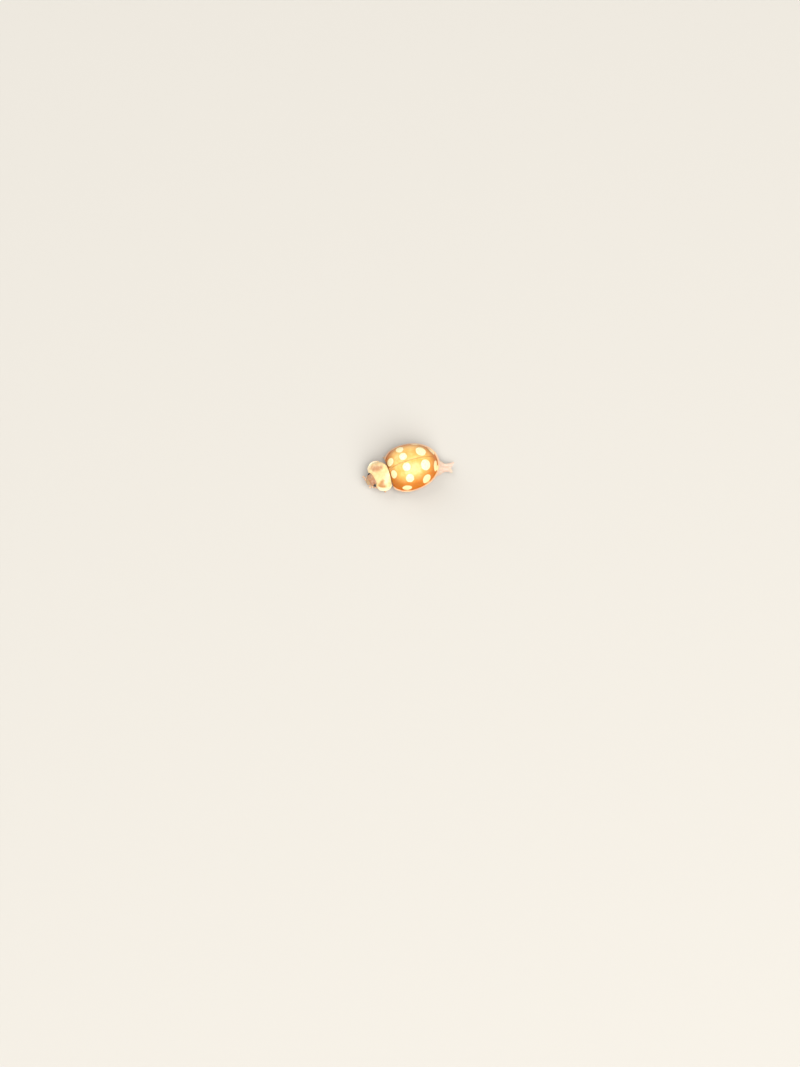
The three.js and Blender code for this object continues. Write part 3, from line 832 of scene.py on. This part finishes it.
# A length of the trunk: each cut is the y of a plane across it and the way out, and is closed.
def trunkLength(name, cuts):
    t = trunk
    barrel = addBall(name, segments=112, rings=80, lengthwise=True)
    for way, reach in ((-1, t["frontReach"]), (1, t["rearReach"])):
        pick(barrel, lambda p: p.y * way > hair)
        bpy.ops.transform.resize(value=(1, reach, 1), center_override=(0, 0, 0))
    for way, reach in ((-1, t["below"]), (1, t["above"])):
        pick(barrel, lambda p: p.z * way > hair)
        bpy.ops.transform.resize(value=(1, 1, reach), center_override=(0, 0, 0))
    pick(barrel)
    bpy.ops.transform.resize(value=(t["halfWidth"], 1, 1), center_override=(0, 0, 0))
    bpy.ops.transform.translate(value=t["middle"])
    for y, outward in cuts:
        bpy.ops.mesh.select_all(action="SELECT")
        bpy.ops.mesh.bisect(plane_co=(0, y, 0), plane_no=(0, outward, 0), use_fill=True, clear_outer=True)
    selectOnly(barrel)
    return barrel


def makeBelly():
    t = trunk
    belly = trunkLength("belly", [(t["splitY"] + t["gap"], -1)])
    for y in t["bellyJoints"]:
        groove(belly, (0, y, 0), (0, 1, 0), t["groove"], t["bellySqueeze"], (0, y, t["middle"][2]))
    pull(belly, *t["bow"])
    return belly


def makeChest():
    t = trunk
    level = t["middle"][2]
    chest = trunkLength("chest", [(t["frontY"], -1), (t["splitY"] - t["gap"], 1)])
    groove(chest, (0, t["chestJointY"], 0), (0, 1, 0), t["groove"], t["chestSqueeze"],
           (0, t["chestMiddleY"], level))
    for place, normal, width, squeeze in t["plateLines"]:
        groove(chest, place, normal, width, squeeze, (0, place[1], level),
               lambda p: p.y > t["chestJointY"] + t["plateStart"] and p.z < level)
    return chest


def makeBreast():
    plate = addBall("breast", segments=96, rings=60, lengthwise=True, place=breast["middle"],
                    radii=breast["radii"])
    pull(plate, *breast["keel"])
    pullBothSides(plate, *breast["hip"])
    return plate


underMaterial = makeLimbMaterial("amberUndersideChitin", "#b9845a", "#9c6440", "#804c30")
finishPiece(makeBelly(), underMaterial, ["abdomen"], angle=35)
finishPiece(makeChest(), underMaterial, ["thorax"], angle=35)
finishPiece(makeBreast(), underMaterial, ["prothorax"], turned=True)
print("ladybird: underside done")

# where each leg's hip, knee, ankle and toe lie in plan; the front legs turn with the shield
legs = {
    "FrontLeft": [(0.32, -0.56), (1.13, -0.86), (0.8, -0.4), (0.44, -0.12)],
    "FrontRight": [(-0.32, -0.56), (-0.9, -0.9), (-0.76, -0.4), (-0.44, -0.1)],
    "MiddleLeft": [(0.42, 0.5), (1.32, 0.54), (0.88, 0.95), (0.46, 1.04)],
    "MiddleRight": [(-0.42, 0.5), (-1.42, 0.04), (-1.06, 0.68), (-0.66, 0.98)],
    "HindLeft": [(0.42, 1.55), (1.3, 1.98), (0.78, 2.48), (0.42, 2.82)],
    "HindRight": [(-0.42, 1.55), (-1.3, 1.92), (-0.82, 2.44), (-0.48, 2.8)],
}
jointHeights = [0.42, 0.25, 0.15, 0.05]  # of the same four
# the hip is a ball sunk in the body and a ring; the thigh starts in the ring, at this share
thigh = {"width": 0.13, "start": 0.16, "ball": 0.15, "ballIn": 0.16, "ballUp": 0.05,
         "ringFrom": 0.06, "ringTo": 0.3, "ring": 0.75}
# two spurs beside the ankle: where they root and which way they point
shin = {"width": 0.085, "spur": 0.014, "rootBack": 0.03, "rootOut": 0.045, "spurAlong": 0.09,
        "spurOut": 0.03, "spurDown": 0.02}
# the first two of three joints end at these shares of the length and at these heights; the second
# is a two-lobed pad, the last is tucked into it, and two claws spread from its end
foot = {"width": 0.06, "ends": (0.36, 0.66), "heights": (0.075, 0.055), "pad": 0.07, "lobes": 0.5,
        "cleft": 0.2, "tuck": 0.6, "last": 0.6, "claw": 0.018, "clawHook": 3.2, "clawBack": 0.02,
        "clawRoots": 0.012, "clawAhead": 0.1, "clawOut": 0.06, "clawDown": 0.035}

thighMaster = limbPiece("thighMaster", [(0, 0.4), (0.06, 0.62), (0.3, 0.95), (0.6, 1.0), (0.88, 0.86),
                                        (0.98, 0.66), (1.02, 0.35)], sides=20, flat=0.78)
shinMaster = limbPiece("shinMaster", [(-0.02, 0.35), (0.02, 0.6), (0.08, 0.5), (0.2, 0.62), (0.55, 0.8),
                                      (0.9, 1.0), (0.98, 0.92), (1.0, 0.6)], sides=18, flat=0.75)
footMaster = limbPiece("footMaster", [(0, 0.45), (0.1, 0.6), (0.5, 0.85), (0.85, 1.0), (1.0, 0.6)],
                       sides=16, flat=0.8)
padMaster = limbPiece("padMaster", [(0, 0.4), (0.2, 0.7), (0.6, 1.15), (0.95, 1.3), (1.05, 0.9)],
                      sides=20, flat=0.55)
for vertex in padMaster.data.vertices:
    vertex.co.z += (foot["lobes"] * abs(vertex.co.x) - foot["cleft"]) * ease(vertex.co.z)
clawMaster = limbPiece("clawMaster", [(0, 1.0), (0.2, 0.9), (0.5, 0.6), (0.8, 0.32), (1.0, 0.08)], sides=10)
for vertex in clawMaster.data.vertices:
    vertex.co.x -= foot["clawHook"] * clamp(vertex.co.z) ** 2
spurMaster = limbPiece("spurMaster", [(0, 1.0), (0.5, 0.6), (1.0, 0.1)], sides=8)


def makeThigh(name, hip, knee):
    inward = Vector((-1 if hip.x > 0 else 1, 0, 0))
    start = hip.lerp(knee, thigh["start"])
    parts = [placedCopy(bead, "hipBall", hip + inward * thigh["ballIn"] + up * thigh["ballUp"], start,
                        width=thigh["ball"]),
             placedCopy(bead, "hipRing", hip.lerp(knee, thigh["ringFrom"]), hip.lerp(knee, thigh["ringTo"]),
                        width=thigh["ball"] * thigh["ring"]),
             placedCopy(thighMaster, "thighRod", start, knee, width=thigh["width"])]
    return joinPieces(parts, "thigh" + name)


def makeShin(name, knee, ankle):
    along = (ankle - knee).normalized()
    across = along.cross(up).normalized()
    parts = [placedCopy(shinMaster, "shinRod", knee, ankle, width=shin["width"])]
    for side in (-1, 1):
        root = ankle - along * shin["rootBack"] + across * side * shin["rootOut"]
        tip = root + along * shin["spurAlong"] + across * side * shin["spurOut"] - up * shin["spurDown"]
        parts.append(placedCopy(spurMaster, "spur", root, tip, width=shin["spur"]))
    return joinPieces(parts, "shin" + name)


def makeFoot(name, ankle, toe):
    f, run = foot, toe - ankle
    flat = run.cross(up).normalized()
    forward = Vector((run.x, run.y, 0)).normalized()
    first, second = (ankle + run * share for share in f["ends"])
    first.z, second.z = f["heights"]
    parts = [placedCopy(footMaster, "footBase", ankle, first, side=flat, width=f["width"]),
             placedCopy(padMaster, "footPad", first, second, side=flat, width=f["pad"]),
             placedCopy(footMaster, "footEnd", first.lerp(second, f["tuck"]), toe, side=flat,
                        width=f["width"] * f["last"])]
    for side in (-1, 1):
        root = toe - forward * f["clawBack"] + flat * side * f["clawRoots"]
        tip = toe + forward * f["clawAhead"] + flat * side * f["clawOut"] - up * f["clawDown"]
        parts.append(placedCopy(clawMaster, "claw", root, tip, side=-up, width=f["claw"]))
    return joinPieces(parts, "foot" + name)


legMaterial = makeLimbMaterial("amberLegChitin", "#dcb48a", "#c48e5a", "#a87044")
for name, plan in legs.items():
    row = "front" if "Front" in name else "middle" if "Middle" in name else "hind"
    side = "left" if "Left" in name else "right"
    hip, knee, ankle, toe = (Vector((*place, height)) for place, height in zip(plan, jointHeights))
    parts = {"thigh": makeThigh(name, hip, knee), "shin": makeShin(name, knee, ankle),
             "foot": makeFoot(name, ankle, toe)}
    for part, piece in parts.items():
        finishPiece(piece, legMaterial, [f"{part}_{row}_{side}"], turned=row == "front")
discard(bead, thighMaster, shinMaster, footMaster, padMaster, clawMaster, spurMaster)
print("ladybird: legs done")

# The folded flying wings show behind the wing cases. Each row gives the place of its inner end, the
# place of its outer end and its height, from under the cases out to the notched tip.
wings = {
    "Left": [((0.08, 3.2), (1.1, 3.1), 0.4), ((0.06, 3.6), (1.15, 3.3), 0.4),
             ((0.07, 3.84), (1.15, 3.5), 0.39), ((0.21, 3.95), (1.06, 3.73), 0.37),
             ((0.44, 4.11), (0.97, 3.98), 0.35), ((0.47, 4.3), (1.05, 4.13), 0.34),
             ((0.48, 4.55), (1.14, 4.28), 0.32), ((0.47, 4.81), (1.25, 4.42), 0.31)],
    "Right": [((-0.12, 3.2), (-0.72, 3.2), 0.42), ((-0.1, 3.4), (-0.72, 3.4), 0.42),
              ((-0.1, 3.6), (-0.7, 3.6), 0.41), ((-0.14, 3.76), (-0.66, 3.74), 0.39),
              ((-0.24, 3.86), (-0.56, 3.84), 0.37)],
}
# veins run along these shares of the width; the tip is notched this deep, over this reach
wingForm = {"columns": 24, "veins": [0.04, 0.38, 0.7, 0.96], "veinWidth": 0.03, "fold": 0.007, "waves": 14,
            "thick": 0.014, "notch": 0.16, "notchReach": 0.3}


def makeWing(name, rows):
    form = wingForm
    bpy.ops.object.select_all(action="DESELECT")
    bpy.ops.mesh.primitive_grid_add(x_subdivisions=form["columns"], y_subdivisions=len(rows) - 1,
                                    size=1, location=(0.5, 0.5, 0))
    wing = startPiece("flyingWing" + name)
    paint(wing, "vein", lambda p: max(hill(p.x, line, form["veinWidth"]) for line in form["veins"]))
    for vertex in wing.data.vertices:
        u = vertex.co.x
        inner, outer, high = rows[round(vertex.co.y * (len(rows) - 1))]
        pleat = form["fold"] * math.sin(u * form["waves"])
        vertex.co = Vector((mix(inner[0], outer[0], u), mix(inner[1], outer[1], u), high + pleat))
    inner, outer, high = rows[-1]
    pull(wing, ((inner[0] + outer[0]) / 2, (inner[1] + outer[1]) / 2, high), (0, -form["notch"], 0),
         form["notchReach"])
    modify(wing, "SUBSURF", levels=2, render_levels=2, boundary_smooth="PRESERVE_CORNERS")
    modify(wing, "SOLIDIFY", thickness=form["thick"], offset=0)
    return wing


# Wing film: a clear wrinkled membrane, faintly pink, held out by thin brown veins.
def makeMembrane():
    material, tree, surface = startMaterial(
        "wingFilm", Roughness=0.45, IOR=1.5, Coat_Weight=0.15, Coat_Roughness=0.3, Alpha=0.88,
        Subsurface_Weight=0.2, Subsurface_Scale=0.0001)
    body = bodyMillimetres(tree)
    vein = addNode(tree, "Attribute", {"attribute_name": "vein"}).outputs["Fac"]
    brown = addNode(tree, "MapRange", soft, {
        "Value": vein, "From Min": 0.35, "From Max": 0.95, "To Max": 0.35}).outputs["Result"]
    colour = coatsOfColour(tree, "#e2cab8", [
        (patches(tree, body, size=0.25), "#dabda8"), (brown, "#b8947a")])
    cloud = addNode(tree, "TexNoise", links={"Vector": body, "Scale": 9.0, "Detail": 4.0}).outputs["Fac"]
    dressSurface(tree, surface, colour, [(cloud, 0.4, 0.02)])
    return material


membrane = makeMembrane()
for name, rows in wings.items():
    finishPiece(makeWing(name, rows), membrane, ["flying_wing_" + name.lower()])
print("ladybird: flying wings done")

# plain pale paper under a broad soft lamp, like an overcast sky beside the window
floorPaper = {"size": 4.0, "colour": "#bfbcb6"}
bpy.ops.object.select_all(action="DESELECT")
bpy.ops.mesh.primitive_plane_add(size=floorPaper["size"])
floor = startPiece("floor")
paper, _, paperSurface = startMaterial("palePaper", Roughness=0.85)
paperSurface.inputs["Base Color"].default_value = toLinear(floorPaper["colour"])
floor.data.materials.append(paper)

# The camera looks down on the animal's left side, with the seam's front end at this share of the
# frame from its left and its top. Angles are in degrees and lengths in metres, the lens in mm.
view = {"azimuth": 72.64, "elevation": 73.0, "distance": 0.2866, "lens": 133.3, "sensor": 36.0,
        "frame": (800, 1067), "seamShare": (0.4861, 0.4462), "nearest": 0.01, "farthest": 5}
azimuth, elevation = math.radians(view["azimuth"]), math.radians(view["elevation"])
toRight = Vector((math.cos(azimuth), math.sin(azimuth), 0))
toCamera = Vector((math.sin(azimuth) * math.cos(elevation), -math.cos(azimuth) * math.cos(elevation),
                   math.sin(elevation)))
toTop = toCamera.cross(toRight)


def aimCamera():
    wide, high = view["frame"]
    focal = view["lens"] / view["sensor"] * high
    asideBy = (view["seamShare"][0] - 0.5) * wide
    aboveBy = (0.5 - view["seamShare"][1]) * high
    bpy.ops.object.camera_add(location=seamPoint + toCamera * view["distance"])
    camera = bpy.context.object
    camera.name = "camera"
    camera.data.lens = view["lens"]
    camera.data.clip_start = view["nearest"]
    camera.data.clip_end = view["farthest"]
    straight = Matrix((toRight, toTop, toCamera)).transposed()
    swing = (Matrix.Rotation(math.atan(asideBy / focal), 3, "Y")
             @ Matrix.Rotation(-math.atan(aboveBy / focal), 3, "X"))
    camera.rotation_euler = (straight @ swing).to_euler()
    bpy.context.scene.camera = camera


# direction from the animal, distance and size in metres, power in watts
lamps = {
    "skyLamp": {"towards": (0.58, 0.13, 0.81), "distance": 0.5, "size": 0.74, "power": 5.4,
                "colour": (1, 0.985, 0.96)},
    "fillLamp": {"towards": (-0.7, -0.45, 0.6), "distance": 0.6, "size": 0.6, "power": 2.1,
                 "colour": (1, 0.99, 0.97)},
}
sky = {"colour": (1.0, 0.97, 0.93, 1), "strength": 0.27}


def addLamp(name, lamp):
    towards = Vector(lamp["towards"]).normalized()
    bpy.ops.object.light_add(type="AREA", location=seamPoint + towards * lamp["distance"])
    light = bpy.context.object
    light.name = name
    light.data.shape = "DISK"
    light.data.size = lamp["size"]
    light.data.energy = lamp["power"]
    light.data.color = lamp["colour"]
    light.rotation_euler = towards.to_track_quat("Z", "Y").to_euler()


aimCamera()
for name, lamp in lamps.items():
    addLamp(name, lamp)
world = bpy.context.scene.world or bpy.data.worlds.new("world")
bpy.context.scene.world = world
world.use_nodes = True
background = world.node_tree.nodes["Background"]
background.inputs["Color"].default_value = sky["colour"]
background.inputs["Strength"].default_value = sky["strength"]
bpy.context.scene.view_settings.view_transform = "Standard"
print("ladybird: light and camera set")
